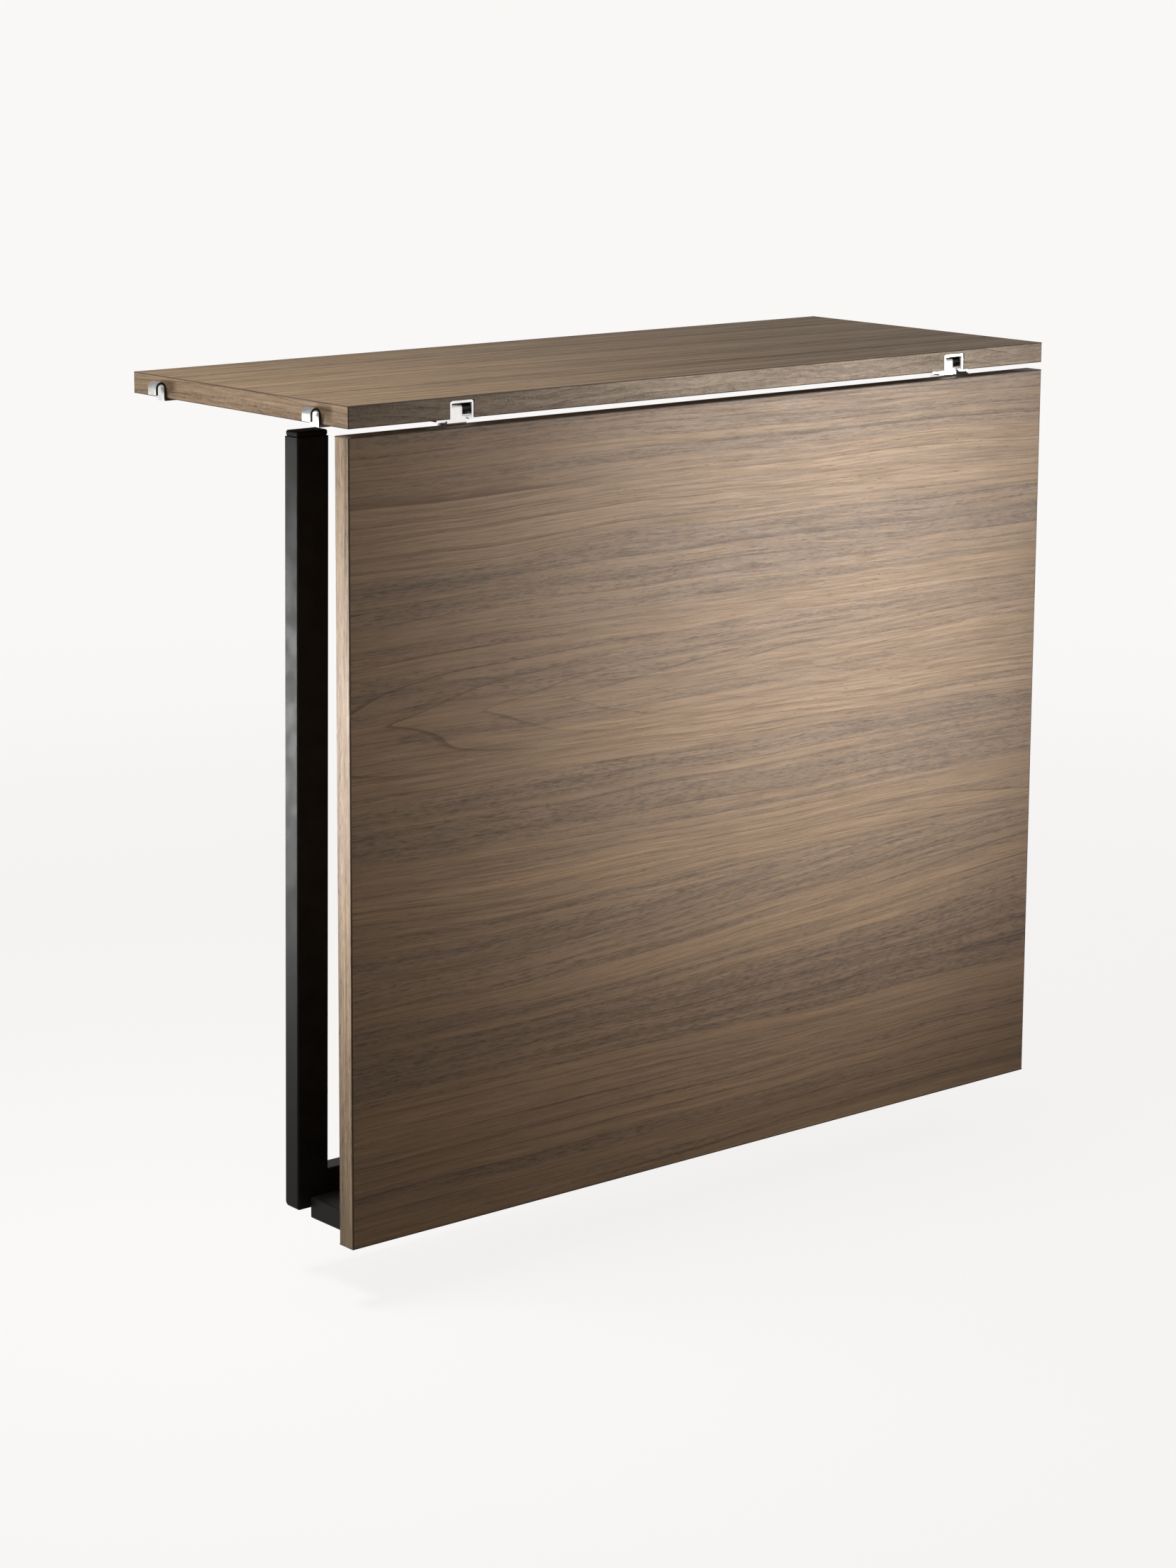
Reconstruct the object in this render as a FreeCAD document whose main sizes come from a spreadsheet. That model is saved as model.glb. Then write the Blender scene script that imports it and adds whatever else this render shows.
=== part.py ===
import FreeCAD
import Part
import Sketcher
import math
import os

# Drop-leaf table that hangs from a wall rack: a shelf board on four rung hooks, a leaf hinged
# below its front edge, and a U-shaped leg frame hinged to a beam on the back of the leaf.
# Frame: +X to the right, +Y into the wall, +Z up, origin in the middle of the shelf's back edge.
# It stands folded: the leaf hangs down and the leg frame stands upright behind it, feet up.

# alias, size in millimetres or degrees, what it sets
SIZES = (
    ("board_width", 780, "shelf and leaf, left to right"),
    ("shelf_depth", 300, "shelf, front edge to back edge"),
    ("shelf_thickness", 18, "veneered shelf board"),
    ("leaf_length", 660, "leaf, top edge to bottom edge"),
    ("leaf_thickness", 18, "veneered leaf board"),
    ("band_thickness", 1.2, "solid edge banding"),
    ("band_round", 0.8, "eased arris of the banding"),
    ("leaf_hinge_inset", 112.5, "board end to the middle of a leaf hinge"),
    ("leaf_pin_rise", 6.6, "leaf hinge pin above the shelf's underside"),
    ("leaf_swing_clearance", 0.3, "shelf's corner to the leaf's edge as it swings"),
    ("leaf_hinge_sheet", 2, "sheet thickness of the leaf hinges"),
    ("leaf_hinge_inner", 20.4, "space between the bracket's walls"),
    ("leaf_bracket_height", 14.4, "bracket above the shelf's underside"),
    ("leaf_bracket_front", 0.8, "shelf front to the bracket's front"),
    ("leaf_bracket_depth", 18, "bracket, front to back"),
    ("leaf_foot_front", 5, "shelf front to the bracket's feet"),
    ("leaf_foot_reach", 10, "foot beyond the bracket's wall"),
    ("leaf_strap_width", 19.6, "strap on the leaf"),
    ("leaf_tongue_width", 10.8, "tongue that rolls round the pin"),
    ("leaf_shoulder_drop", 5.6, "strap's shoulders below the pin"),
    ("leaf_plate_length", 42, "strap on the back of the leaf"),
    ("bracket_corner", 3, "outer bend of a bracket's crown"),
    ("foot_bend", 1.6, "outer bend between wall and foot"),
    ("strap_bend", 0.5, "inner bend of a strap"),
    ("pin_diameter", 4, "hinge pin"),
    ("running_gap", 0.05, "pin to its bore, on the radius"),
    ("fit_gap", 0.1, "let-in piece to its recess, on each side"),
    ("notch_behind", 1, "notch beyond the bracket's back"),
    ("leg_hinge_inset", 150, "board end to the middle of a leg hinge"),
    ("leg_pin_setback", 4.5, "leg hinge pin behind the legs' front face"),
    ("leg_pin_rise", 6, "leg hinge pin above the legs' lower end"),
    ("leg_end_gap", 2, "leg end to beam when the legs are down"),
    ("leg_hinge_sheet", 1.8, "sheet thickness of the leg hinges"),
    ("leg_hinge_inner", 18.4, "space between the bracket's walls"),
    ("leg_bracket_rise", 6.8, "bracket's crown above the pin"),
    ("leg_bracket_depth", 12.5, "bracket, front to back"),
    ("leg_bracket_front", 1, "legs' front face to the bracket's front"),
    ("leg_foot_front", 3.5, "legs' front face to the bracket's feet"),
    ("leg_foot_reach", 10, "foot beyond the bracket's wall"),
    ("leg_tongue_width", 12.8, "tongue that rolls round the pin"),
    ("leg_plate_width", 52, "hinge plate let into the beam"),
    ("leg_plate_drop", 12.4, "plate's lower edge below the pin"),
    ("leg_screw_spread", 17.5, "plate screws, each side of the middle"),
    ("beam_height", 18, "beam, bottom to top"),
    ("beam_depth", 68, "beam, out from the leaf's back"),
    ("beam_inset", 20, "board end to beam end"),
    ("beam_round", 1.5, "eased edges of the beam"),
    ("beam_screw_outer", 330, "outer beam screws from the middle"),
    ("beam_screw_inner", 110, "inner beam screws from the middle"),
    ("leg_width", 31, "leg, along X"),
    ("leg_thickness", 18, "leg and rail, along Y"),
    ("leg_inset", 10, "board end to leg"),
    ("leg_length", 643, "leg without its foot"),
    ("leg_round", 1.5, "eased edges of legs and rail"),
    ("heel_round", 4, "back corner of the legs' hinged end"),
    ("rail_height", 30, "rail between the legs"),
    ("leg_lean", 0.75, "folded legs lean towards the leaf, degrees"),
    ("dowel_diameter", 8, "dowels between rail and legs"),
    ("dowel_reach", 14, "dowel in each piece"),
    ("dowel_pitch", 14, "between the two dowels of a joint"),
    ("dowel_relief", 1, "dowel bore beyond the dowel's end"),
    ("foot_neck_height", 1.2, "groove between leg and foot cap"),
    ("foot_neck_inset", 1.5, "depth of that groove"),
    ("foot_cap_height", 3.8, "foot cap"),
    ("foot_cap_inset", 0.5, "cap inside the leg's outline"),
    ("foot_cap_round", 2, "rounded rim of the cap"),
    ("foot_stem_diameter", 8, "stem pressed into the leg"),
    ("foot_stem_length", 18, "stem in the leg"),
    ("hook_sheet", 2, "sheet thickness of the hooks"),
    ("hook_width", 11.5, "hook, along Y"),
    ("hook_gap", 6, "throat of the hook, over the rung"),
    ("hook_rise", 13.8, "top of the hook above the shelf's underside"),
    ("hook_tail", 3, "end of the hook above the shelf's underside"),
    ("hook_standoff", 0.4, "shelf end to the hook"),
    ("hook_tongue", 34, "tongue under the shelf"),
    ("hook_corner", 1, "outer bend at the tongue's root"),
    ("hook_end_round", 3, "corners of the tongue's end"),
    ("front_hook_middle", 41, "shelf front to the front hooks' middle"),
    ("rear_hook_middle", 43, "shelf back to the rear hooks' middle"),
    ("hook_screw_first", 11, "shelf end to the first hook screw"),
    ("hook_screw_second", 26, "shelf end to the second hook screw"),
    ("screw_diameter", 3.2, "countersunk screws of all fittings"),
    ("screw_head", 6.2, "their heads"),
    ("screw_length", 13, "their length, head included"),
    ("screw_slot_width", 0.9, "cross recess, width of an arm"),
    ("screw_slot_depth", 1.1, "cross recess, depth"),
    ("screw_gap", 0.1, "screw to its hole, on the radius"),
    ("leaf_screw_first", 14, "leaf top to the first strap screw"),
    ("leaf_screw_second", 34, "leaf top to the second strap screw"),
    ("beam_screw_diameter", 4.5, "screws through the beam"),
    ("beam_screw_head", 8.5, "their heads"),
    ("beam_screw_head_height", 3.5, "their heads"),
    ("beam_screw_length", 50, "their length under the head"),
    ("beam_screw_bore", 9.5, "counterbore"),
    ("beam_screw_bite", 12, "thread in the leaf"),
)

WHOLE_TURN = 360
THROUGH = 2000
RIM_SHARE = 0.9
PLANE_NORMAL_IS_NEGATIVE = {"XY_Plane": False, "XZ_Plane": True, "YZ_Plane": False}


class Size:
    """A number together with the sheet formula that it comes from."""

    def __init__(self, value, formula):
        self.value = value
        self.formula = formula

    def __add__(self, other):
        other = as_size(other)
        return Size(self.value + other.value, f"({self.formula} + {other.formula})")

    def __sub__(self, other):
        other = as_size(other)
        return Size(self.value - other.value, f"({self.formula} - {other.formula})")

    def __rsub__(self, other):
        return as_size(other) - self

    def __mul__(self, other):
        other = as_size(other)
        return Size(self.value * other.value, f"({self.formula} * {other.formula})")

    def __truediv__(self, other):
        other = as_size(other)
        return Size(self.value / other.value, f"({self.formula} / {other.formula})")

    def __neg__(self):
        return as_size(0) - self

    __radd__ = __add__
    __rmul__ = __mul__


def as_size(item):
    if isinstance(item, Size):
        return item
    return Size(float(item), f"{float(item):.6f}")


def distance(across, up):
    """The distance of a point from the origin."""
    square = across * across + up * up
    return Size(math.sqrt(square.value), f"sqrt({square.formula})")


def bind(thing, prop, size):
    thing.setExpression(prop, as_size(size).formula)


def fill_sheet():
    sheet = doc.addObject("Spreadsheet::Sheet", "Sizes")
    for row, (alias, number, meaning) in enumerate(SIZES, start=1):
        sheet.set(f"A{row}", meaning)
        sheet.set(f"B{row}", str(number))
        sheet.setAlias(f"B{row}", alias)
    doc.recompute()
    return {alias: Size(float(number), f"Sizes.{alias}") for alias, number, _ in SIZES}


doc = FreeCAD.newDocument("drop_leaf_table")
S = fill_sheet()

# ---------------------------------------------------------------- places worked out from the sizes

half_width = S["board_width"] / 2
front_y = -S["shelf_depth"]
shelf_under = -S["shelf_thickness"] / 2
shelf_top = S["shelf_thickness"] / 2

# The leaf hinge pin is as far behind the shelf's front as it is below the shelf's top, so the
# raised leaf is flush with the shelf. The leaf's edge is just far enough from the pin to swing
# past the shelf's rounded lower corner.
leaf_pin_setback = S["shelf_thickness"] - S["leaf_pin_rise"]
leaf_pin_y = front_y + leaf_pin_setback
leaf_pin_z = shelf_under + S["leaf_pin_rise"]
corner_reach = (
    distance(leaf_pin_setback - S["band_round"], S["leaf_pin_rise"] - S["band_round"])
    + S["band_round"]
)
leaf_gap = corner_reach + S["leaf_swing_clearance"] - S["leaf_pin_rise"]
leaf_hinge_x = half_width - S["leaf_hinge_inset"]

leaf_top = shelf_under - leaf_gap
leaf_bottom = leaf_top - S["leaf_length"]
leaf_back = front_y + S["leaf_thickness"]

# The leg hinge pin stands behind the beam so that the lowered legs butt against the beam's
# back with their faces flush with its top.
beam_half = half_width - S["beam_inset"]
beam_back = leaf_back + S["beam_depth"]
beam_top = leaf_bottom + S["beam_height"]
leg_pin_y = beam_back + S["leg_end_gap"] + S["leg_pin_rise"]
leg_pin_z = beam_top - S["leg_pin_setback"]
leg_hinge_x = half_width - S["leg_hinge_inset"]

# In the leg frame, measured from the leg hinge pins.
leg_front = -S["leg_pin_setback"]
leg_back = leg_front + S["leg_thickness"]
leg_middle = leg_front + S["leg_thickness"] / 2
leg_end = -S["leg_pin_rise"]
leg_top = leg_end + S["leg_length"]
leg_outer_x = half_width - S["leg_inset"]
rail_half = leg_outer_x - S["leg_width"]

eye_inner = S["pin_diameter"] / 2 + S["running_gap"]
pilot = S["screw_diameter"] + 2 * S["running_gap"]


# ---------------------------------------------------------------- drawing in sketches


def new_body(name):
    body = doc.addObject("PartDesign::Body", name)
    body.Label = name
    return body


def new_sketch(body, name, plane, offset=0):
    """A sketch on one of the body's own planes, moved by offset along +X, +Y or +Z."""
    sketch = body.newObject("Sketcher::SketchObject", name)
    support = [feature for feature in body.Origin.OriginFeatures if feature.Role == plane]
    sketch.AttachmentSupport = [(support[0], "")]
    sketch.MapMode = "FlatFace"
    shift = -as_size(offset) if PLANE_NORMAL_IS_NEGATIVE[plane] else as_size(offset)
    bind(sketch, ".AttachmentOffset.Base.z", shift)
    return sketch


def pin_vertex(sketch, geometry, vertex, across, up):
    for kind, size in (("DistanceX", across), ("DistanceY", up)):
        size = as_size(size)
        index = sketch.addConstraint(
            Sketcher.Constraint(kind, -1, 1, geometry, vertex, size.value)
        )
        bind(sketch, f"Constraints[{index}]", size)


def quarter_arc(start, end, radius, turns_left):
    """The quarter circle from start to end, and whether it is drawn backwards."""
    for centre in ((start[0], end[1]), (end[0], start[1])):
        ax, ay = start[0] - centre[0], start[1] - centre[1]
        bx, by = end[0] - centre[0], end[1] - centre[1]
        if (ax * by - ay * bx > 0) == turns_left:
            break
    circle = Part.Circle(
        FreeCAD.Vector(centre[0], centre[1], 0), FreeCAD.Vector(0, 0, 1), radius
    )
    first, last = (start, end) if turns_left else (end, start)
    low = circle.parameter(FreeCAD.Vector(first[0], first[1], 0))
    high = circle.parameter(FreeCAD.Vector(last[0], last[1], 0))
    return Part.ArcOfCircle(circle, low, high), not turns_left


def draw_outline(sketch, corners):
    """A closed outline. A corner is (across, up), or (across, up, radius, turn) where a quarter
    arc arrives at it, with turn "left" or "right"."""
    count = len(corners)
    ends = []
    for index, corner in enumerate(corners):
        before = corners[index - 1]
        start = (as_size(before[0]).value, as_size(before[1]).value)
        end = (as_size(corner[0]).value, as_size(corner[1]).value)
        if len(corner) == 2:
            line = Part.LineSegment(FreeCAD.Vector(*start, 0), FreeCAD.Vector(*end, 0))
            geometry = sketch.addGeometry(line, False)
            ends.append((geometry, 1, 2))
            continue
        radius = as_size(corner[2])
        arc, backwards = quarter_arc(start, end, radius.value, corner[3] == "left")
        geometry = sketch.addGeometry(arc, False)
        ends.append((geometry, 2, 1) if backwards else (geometry, 1, 2))
        number = sketch.addConstraint(
            Sketcher.Constraint("Radius", geometry, radius.value)
        )
        bind(sketch, f"Constraints[{number}]", radius)
    for index, (geometry, _, finish) in enumerate(ends):
        following, begin, _ = ends[(index + 1) % count]
        sketch.addConstraint(
            Sketcher.Constraint("Coincident", geometry, finish, following, begin)
        )
        pin_vertex(sketch, geometry, finish, corners[index][0], corners[index][1])


def draw_rectangle(sketch, left, right, low, high):
    draw_outline(sketch, [(left, low), (right, low), (right, high), (left, high)])


def draw_circle(sketch, across, up, diameter):
    centre = FreeCAD.Vector(as_size(across).value, as_size(up).value, 0)
    circle = Part.Circle(centre, FreeCAD.Vector(0, 0, 1), as_size(diameter).value / 2)
    geometry = sketch.addGeometry(circle, False)
    pin_vertex(sketch, geometry, 3, across, up)
    index = sketch.addConstraint(
        Sketcher.Constraint("Diameter", geometry, as_size(diameter).value)
    )
    bind(sketch, f"Constraints[{index}]", diameter)


# ---------------------------------------------------------------- features


def pad(body, sketch, length, symmetric=False, reverse=False):
    feature = body.newObject("PartDesign::Pad", sketch.Name + "_pad")
    feature.Profile = sketch
    feature.SideType = "Symmetric" if symmetric else "One side"
    feature.Reversed = reverse
    bind(feature, "Length", length)
    return feature


def pocket(body, sketch, depth, reverse=False, symmetric=False):
    """Cut a sketch out of the body, and make sure that it cuts something."""
    doc.recompute()
    before = body.Shape.Volume
    feature = body.newObject("PartDesign::Pocket", sketch.Name + "_pocket")
    feature.Profile = sketch
    feature.SideType = "Symmetric" if symmetric else "One side"
    feature.Reversed = reverse
    bind(feature, "Length", depth)
    doc.recompute()
    if not body.Shape.Volume < before:
        raise ValueError(f"{feature.Name} cuts nothing")
    return feature


def edge_names(body, wanted):
    """The names of the body's edges for which wanted(edge) is true."""
    doc.recompute()
    edges = body.Tip.Shape.Edges
    return [f"Edge{n}" for n, edge in enumerate(edges, start=1) if wanted(edge)]


def dress(body, kind, prop, size, wanted):
    """Fillet or chamfer the wanted edges of the body's last feature."""
    names = edge_names(body, wanted)
    if not names:
        raise ValueError(f"{body.Label} has no edge for its {kind}")
    tip = body.Tip
    feature = body.newObject(f"PartDesign::{kind}", f"{tip.Name}_{kind}")
    feature.Base = (tip, names)
    bind(feature, prop, size)
    doc.recompute()
    return feature


def fillet(body, radius, wanted):
    return dress(body, "Fillet", "Radius", radius, wanted)


def near(one, other):
    return abs(one - other) < 1e-4


def is_straight(edge):
    return edge.Curve.TypeId == "Part::GeomLine"


def runs_along(edge, axis):
    if not is_straight(edge):
        return False
    ends = [vertex.Point for vertex in edge.Vertexes]
    step = ends[1] - ends[0]
    sideways = [step[other] for other in range(3) if other != axis]
    return all(near(part, 0) for part in sideways)


def lies_at(edge, axis, place):
    """True where the whole edge lies in the plane axis = place."""
    return all(near(vertex.Point[axis], place) for vertex in edge.Vertexes)


def is_circle_at(edge, axis, place, radius):
    return (
        edge.Curve.TypeId == "Part::GeomCircle"
        and near(edge.Curve.Radius, radius)
        and near(edge.Curve.Center[axis], place)
        and near(abs(edge.Curve.Axis[axis]), 1)
    )


# ---------------------------------------------------------------- shared shapes


def board(name, left, right, front, back, low, high):
    """A rectangular board, padded upwards from its lower face."""
    body = new_body(name)
    sketch = new_sketch(body, name + "_outline", "XY_Plane", low)
    draw_rectangle(sketch, left, right, front, back)
    pad(body, sketch, as_size(high) - low)
    return body


def drill(body, name, plane, face, centres, diameter, depth, reverse=False):
    """Round holes of one size, cut from a face."""
    sketch = new_sketch(body, f"{body.Label}_{name}", plane, face)
    for across, up in centres:
        draw_circle(sketch, across, up, diameter)
    pocket(body, sketch, depth, reverse)


def round_face(body, axis, face, radius, left_out=None):
    """Ease the straight edges that bound one flat face of a board."""
    place_of_face = as_size(face).value

    def wanted(edge):
        if left_out is not None and runs_along(edge, left_out):
            return False
        return is_straight(edge) and lies_at(edge, axis, place_of_face)

    fillet(body, radius, wanted)


def countersink(body, holes, plane, axis, face, depth):
    """Screw holes through a sheet, with a cone for the heads at the given face."""
    hole = S["screw_diameter"] + 2 * S["screw_gap"]
    drill(body, "screw_holes", plane, face, holes, hole, depth, True)
    place_of_face = as_size(face).value

    def at_face(edge):
        return is_circle_at(edge, axis, place_of_face, hole.value / 2)

    dress(body, "Chamfer", "Size", (S["screw_head"] - S["screw_diameter"]) / 2, at_face)


def bracket_outline(sketch, base, inner_half, sheet, height, reach):
    """A hat section: walls and crown above base, and a foot below it on each side."""
    outer_half = inner_half + sheet
    tip = outer_half + reach
    crown = base + height
    outer = S["bracket_corner"]
    inner = outer - sheet
    bend = S["foot_bend"]
    low = base - sheet
    corners = [
        (-tip, low),
        (-inner_half - bend, low),
        (-inner_half, low + bend, bend, "left"),
        (-inner_half, crown - outer),
        (-outer_half + outer, crown - sheet, inner, "right"),
        (outer_half - outer, crown - sheet),
        (inner_half, crown - outer, inner, "right"),
        (inner_half, low + bend),
        (inner_half + bend, low, bend, "left"),
        (tip, low),
        (tip, base),
        (outer_half, base),
        (outer_half, crown - outer),
        (outer_half - outer, crown, outer, "left"),
        (outer - outer_half, crown),
        (-outer_half, crown - outer, outer, "left"),
        (-outer_half, base),
        (-tip, base),
    ]
    draw_outline(sketch, corners)


def hinge_bracket(name, base, height, inner, sheet, reach, front, depth, foot_front):
    """The fixed half of a hinge, drawn round its pin: a hat section that sits in a notch and
    is screwed on by its feet, which start behind its front."""
    body = new_body(name)
    wall = inner / 2 + sheet
    back = front + depth
    sketch = new_sketch(body, name + "_outline", "XZ_Plane", front)
    bracket_outline(sketch, base, inner / 2, sheet, height, reach)
    pad(body, sketch, depth, reverse=True)
    trim = new_sketch(body, name + "_foot_trim", "XY_Plane", base)
    edge = wall + 2 * reach
    draw_rectangle(trim, -edge, edge, front - sheet, foot_front)
    pocket(body, trim, 2 * sheet)
    bore = new_sketch(body, name + "_pin_bore", "YZ_Plane")
    draw_circle(bore, 0, 0, 2 * eye_inner)
    pocket(body, bore, THROUGH, symmetric=True)
    screw_y = (foot_front + back) / 2
    holes = [(-wall - reach / 2, screw_y), (wall + reach / 2, screw_y)]
    countersink(body, holes, "XY_Plane", 2, base - sheet, sheet)
    return body


def hinge_pin(name, length):
    body = new_body(name)
    sketch = new_sketch(body, name + "_section", "YZ_Plane")
    draw_circle(sketch, 0, 0, S["pin_diameter"])
    pad(body, sketch, length, symmetric=True)
    return body


def place(thing, across=0, along=0, up=0):
    bind(thing, ".Placement.Base.x", across)
    bind(thing, ".Placement.Base.y", along)
    bind(thing, ".Placement.Base.z", up)
    return thing


def place_in_leg_frame(thing, across=0):
    """Put a piece that is drawn round the leg hinge pins into the leaning leg frame."""
    thing.Placement.Rotation = FreeCAD.Rotation(FreeCAD.Vector(1, 0, 0), 1)
    bind(thing, ".Placement.Rotation.Angle", S["leg_lean"])
    return place(thing, across, leg_pin_y, leg_pin_z)


# ---------------------------------------------------------------- screws


def cross_outline(half, arm):
    """The corners of a cross recess, anticlockwise."""
    quarter = [(half, -arm), (half, -half), (arm, -half)]
    corners = []
    for _ in range(4):
        corners += quarter
        quarter = [(-up, across) for across, up in quarter]
    return corners


def turned_screw(name, corners, head_top, head):
    """A screw turned from half its section, with a cross recess in its head."""
    body = new_body(name)
    sketch = new_sketch(body, name + "_section", "XZ_Plane")
    draw_outline(sketch, corners)
    turn = body.newObject("PartDesign::Revolution", name + "_turn")
    turn.Profile = sketch
    turn.ReferenceAxis = (sketch, ["V_Axis"])
    turn.Angle = WHOLE_TURN
    recess = new_sketch(body, name + "_recess", "XY_Plane", head_top)
    draw_outline(recess, cross_outline(S["screw_slot_width"] / 2, head / 4))
    pocket(body, recess, S["screw_slot_depth"])
    return body


def fitting_screw():
    """A countersunk screw, pointing down, with the top of its head at the origin."""
    radius = S["screw_diameter"] / 2
    head = S["screw_head"] / 2
    length = S["screw_length"]
    corners = [
        (0, -length),
        (radius, -length),
        (radius, radius - head),
        (head, 0),
        (0, 0),
    ]
    return turned_screw("fitting_screw", corners, 0, S["screw_head"])


def beam_screw():
    """A cylinder-head screw, pointing down, with the seat of its head at the origin."""
    radius = S["beam_screw_diameter"] / 2
    head = S["beam_screw_head"] / 2
    length = S["beam_screw_length"]
    head_top = S["beam_screw_head_height"]
    corners = [
        (0, -length),
        (radius, -length),
        (radius, 0),
        (head, 0),
        (head, head_top),
        (0, head_top),
    ]
    return turned_screw("beam_screw", corners, head_top, S["beam_screw_head"])


def screw_group(name, master, places, turn):
    """Copies of a screw, turned about X by turn degrees so that they point into the work."""
    copies = []
    for number, spot in enumerate(places, start=1):
        copy = doc.addObject("App::Link", f"{name}_{number}")
        copy.LinkedObject = master
        copy.LinkTransform = False
        copy.Placement.Rotation = FreeCAD.Rotation(FreeCAD.Vector(1, 0, 0), turn)
        copies.append(place(copy, *spot))
    doc.recompute()
    group = doc.addObject("Part::Compound", name)
    group.Label = name
    group.Links = copies
    return group


# ---------------------------------------------------------------- shelf


def cut_leaf_hinge_notches(body):
    """The two notches in the shelf's front edge, open at the front and below."""
    sketch = new_sketch(body, body.Label + "_notches", "XY_Plane", shelf_under)
    half = S["leaf_hinge_inner"] / 2 + S["leaf_hinge_sheet"] + S["fit_gap"]
    back = front_y + S["leaf_bracket_front"] + S["leaf_bracket_depth"] + S["notch_behind"]
    for middle in (-leaf_hinge_x, leaf_hinge_x):
        draw_rectangle(sketch, middle - half, middle + half, front_y - 1, back)
    pocket(body, sketch, S["leaf_bracket_height"] + S["fit_gap"], True)


def hook_screw_places():
    spots = []
    hooks_y = (front_y + S["front_hook_middle"], -S["rear_hook_middle"])
    for inset in (S["hook_screw_first"], S["hook_screw_second"]):
        for hook_y in hooks_y:
            spots.append((inset - half_width, hook_y))
            spots.append((half_width - inset, hook_y))
    return spots


def leaf_bracket_screw_places():
    reach = S["leaf_hinge_inner"] / 2 + S["leaf_hinge_sheet"] + S["leaf_foot_reach"] / 2
    foot_back = S["leaf_bracket_front"] + S["leaf_bracket_depth"]
    screw_y = front_y + (S["leaf_foot_front"] + foot_back) / 2
    middles = (-leaf_hinge_x, leaf_hinge_x)
    return [(middle + side * reach, screw_y) for middle in middles for side in (-1, 1)]


def shelf_panel():
    band = S["band_thickness"]
    body = board(
        "shelf_panel",
        band - half_width, half_width - band,
        front_y + band, -band,
        shelf_under, shelf_top,
    )
    cut_leaf_hinge_notches(body)
    centres = hook_screw_places() + leaf_bracket_screw_places()
    depth = S["screw_length"] - S["hook_sheet"] + S["fit_gap"]
    drill(body, "pilots", "XY_Plane", shelf_under, centres, pilot, depth, True)
    return body


def shelf_front_band():
    back = front_y + S["band_thickness"]
    body = board(
        "shelf_front_band", -half_width, half_width, front_y, back, shelf_under, shelf_top
    )
    round_face(body, 1, front_y, S["band_round"])
    cut_leaf_hinge_notches(body)
    return body


def shelf_back_band():
    front = -S["band_thickness"]
    body = board(
        "shelf_back_band", -half_width, half_width, front, 0, shelf_under, shelf_top
    )
    round_face(body, 1, 0, S["band_round"])
    return body


def shelf_end_band(name, outer, inner):
    band = S["band_thickness"]
    left, right = (outer, inner) if outer.value < inner.value else (inner, outer)
    body = board(name, left, right, front_y + band, -band, shelf_under, shelf_top)
    round_face(body, 0, outer, S["band_round"], left_out=2)
    return body


def rung_hook(name, side, middle_y):
    """A strip hook: tongue under the shelf, leg up its end, and a round crown over the rung."""
    body = new_body(name)
    sheet = S["hook_sheet"]
    inner = S["hook_standoff"]
    throat = inner + sheet
    radius = S["hook_gap"] / 2
    middle = throat + radius
    tail_x = throat + S["hook_gap"]
    spring = S["hook_rise"] - sheet - radius
    corner = S["hook_corner"]
    tongue_end = -S["hook_tongue"]
    corners = [
        (tongue_end, -sheet),
        (throat - corner, -sheet),
        (throat, corner - sheet, corner, "left"),
        (throat, spring),
        (middle, spring + radius, radius, "right"),
        (tail_x, spring, radius, "right"),
        (tail_x, S["hook_tail"]),
        (tail_x + sheet, S["hook_tail"]),
        (tail_x + sheet, spring),
        (middle, spring + radius + sheet, radius + sheet, "left"),
        (inner, spring, radius + sheet, "left"),
        (inner, 0),
        (tongue_end, 0),
    ]
    sketch = new_sketch(body, name + "_outline", "XZ_Plane")
    draw_outline(sketch, corners)
    pad(body, sketch, S["hook_width"], symmetric=True)

    def at_tongue_end(edge):
        return runs_along(edge, 2) and lies_at(edge, 0, tongue_end.value)

    fillet(body, S["hook_end_round"], at_tongue_end)
    holes = [(-S["hook_screw_first"], 0), (-S["hook_screw_second"], 0)]
    countersink(body, holes, "XY_Plane", 2, -sheet, sheet)
    if side < 0:
        body.Placement.Rotation = FreeCAD.Rotation(FreeCAD.Vector(0, 0, 1), 180)
    return place(body, side * half_width, middle_y, shelf_under)


def leaf_hinge_bracket(name, middle):
    body = hinge_bracket(
        name,
        base=-S["leaf_pin_rise"],
        height=S["leaf_bracket_height"],
        inner=S["leaf_hinge_inner"],
        sheet=S["leaf_hinge_sheet"],
        reach=S["leaf_foot_reach"],
        front=S["leaf_bracket_front"] - leaf_pin_setback,
        depth=S["leaf_bracket_depth"],
        foot_front=S["leaf_foot_front"] - leaf_pin_setback,
    )
    return place(body, middle, leaf_pin_y, leaf_pin_z)


def leaf_hinge_pin(name, middle):
    body = hinge_pin(name, S["leaf_hinge_inner"] + 2 * S["leaf_hinge_sheet"])
    return place(body, middle, leaf_pin_y, leaf_pin_z)


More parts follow.
